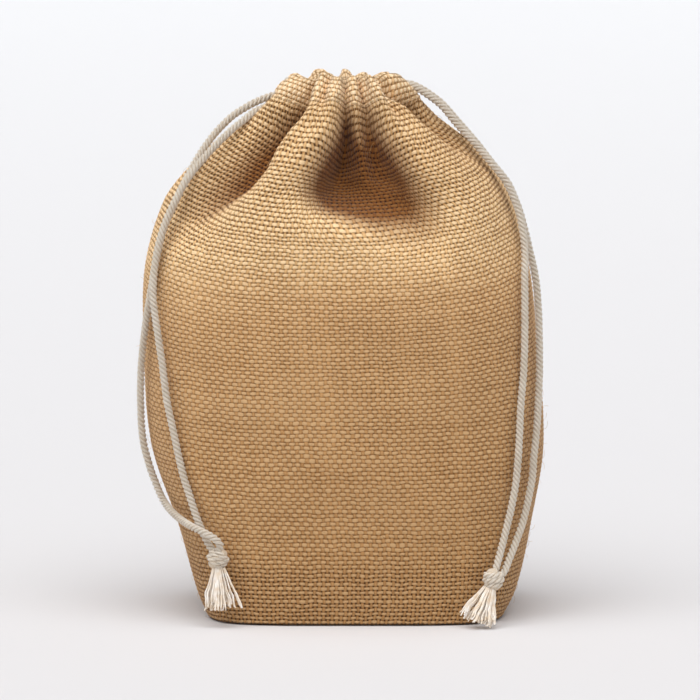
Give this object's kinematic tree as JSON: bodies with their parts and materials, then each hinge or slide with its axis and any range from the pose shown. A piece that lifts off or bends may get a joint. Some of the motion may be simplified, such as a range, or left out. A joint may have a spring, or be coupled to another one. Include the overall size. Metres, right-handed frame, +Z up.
{
  "type": "drawstring gift pouch",
  "caption": "Standing jute cloth pouch with a flat base and a gathered neck, closed by two cotton drawcords that leave at opposite sides and end in knots with tassels.",
  "frame": {"origin": "centre of the pouch's base on the surface it stands on", "axes": "+Z up through the mouth, +X towards the right-hand cord as seen from the front, the front faces -Y"},
  "size_m": [0.1561, 0.1098, 0.207],
  "materials": {
    "jute": "coarse plain-weave natural jute",
    "jute_hem": "double layer of jute, scrunched on the cords",
    "jute_seam": "turned-in raw jute edges, overlocked",
    "sewing_thread": "tan sewing thread",
    "cotton_cord": "undyed three-strand twisted cotton",
    "cotton_knot": "undyed twisted cotton, tightly knotted",
    "cotton_fringe": "unravelled cotton yarns"
  },
  "bodies": {
    "pouch": {"front_panel": "jute", "back_panel": "jute", "left_side_seam": "jute_seam", "right_side_seam": "jute_seam", "base_seam": "jute_seam", "left_corner_seam": "jute_seam", "right_corner_seam": "jute_seam"},
    "front_lip": {"front_casing": "jute_hem", "front_casing_stitching": "sewing_thread", "left_cord_front_run": "cotton_cord", "right_cord_front_run": "cotton_cord"},
    "back_lip": {"back_casing": "jute_hem", "back_casing_stitching": "sewing_thread", "left_cord_back_run": "cotton_cord", "right_cord_back_run": "cotton_cord"},
    "left_tail": {"left_front_strand": "cotton_cord", "left_back_strand": "cotton_cord"},
    "left_tail_end": {"left_knot": "cotton_knot", "left_tassel": "cotton_fringe"},
    "right_tail": {"right_front_strand": "cotton_cord", "right_back_strand": "cotton_cord"},
    "right_tail_end": {"right_knot": "cotton_knot", "right_tassel": "cotton_fringe"}
  },
  "joints": [
    {"name": "mouth_opening", "type": "slide", "parent": "pouch", "child": "front_lip", "axis": [0, -1, 0], "range_m": [0, 0.018]},
    {"name": "back_mouth_opening", "type": "slide", "parent": "pouch", "child": "back_lip", "axis": [0, 1, 0], "range_m": [0, 0.018]},
    {"name": "left_tail_swing", "type": "hinge", "parent": "pouch", "child": "left_tail", "pos_m": [-0.0252, -0.0007, 0.1978], "axis": [0, 1, 0], "range_deg": [0, 45]},
    {"name": "left_cord_draw", "type": "slide", "parent": "left_tail", "child": "left_tail_end", "axis": [-0.3604, 0.2002, 0.911], "range_m": [0, 0.029], "deforming": ["left_front_strand", "left_back_strand"]},
    {"name": "right_tail_swing", "type": "hinge", "parent": "pouch", "child": "right_tail", "pos_m": [0.0226, -0.0004, 0.2025], "axis": [0, -1, 0], "range_deg": [0, 45]},
    {"name": "right_cord_draw", "type": "slide", "parent": "right_tail", "child": "right_tail_end", "axis": [0.3414, 0.2209, 0.9136], "range_m": [0, 0.029], "deforming": ["right_front_strand", "right_back_strand"]}
  ],
  "couplings": [
    {"joint": "back_mouth_opening", "follows": "mouth_opening", "ratio": 1},
    {"joint": "left_cord_draw", "follows": "mouth_opening", "ratio": 1.6},
    {"joint": "right_cord_draw", "follows": "mouth_opening", "ratio": 1.6}
  ]
}
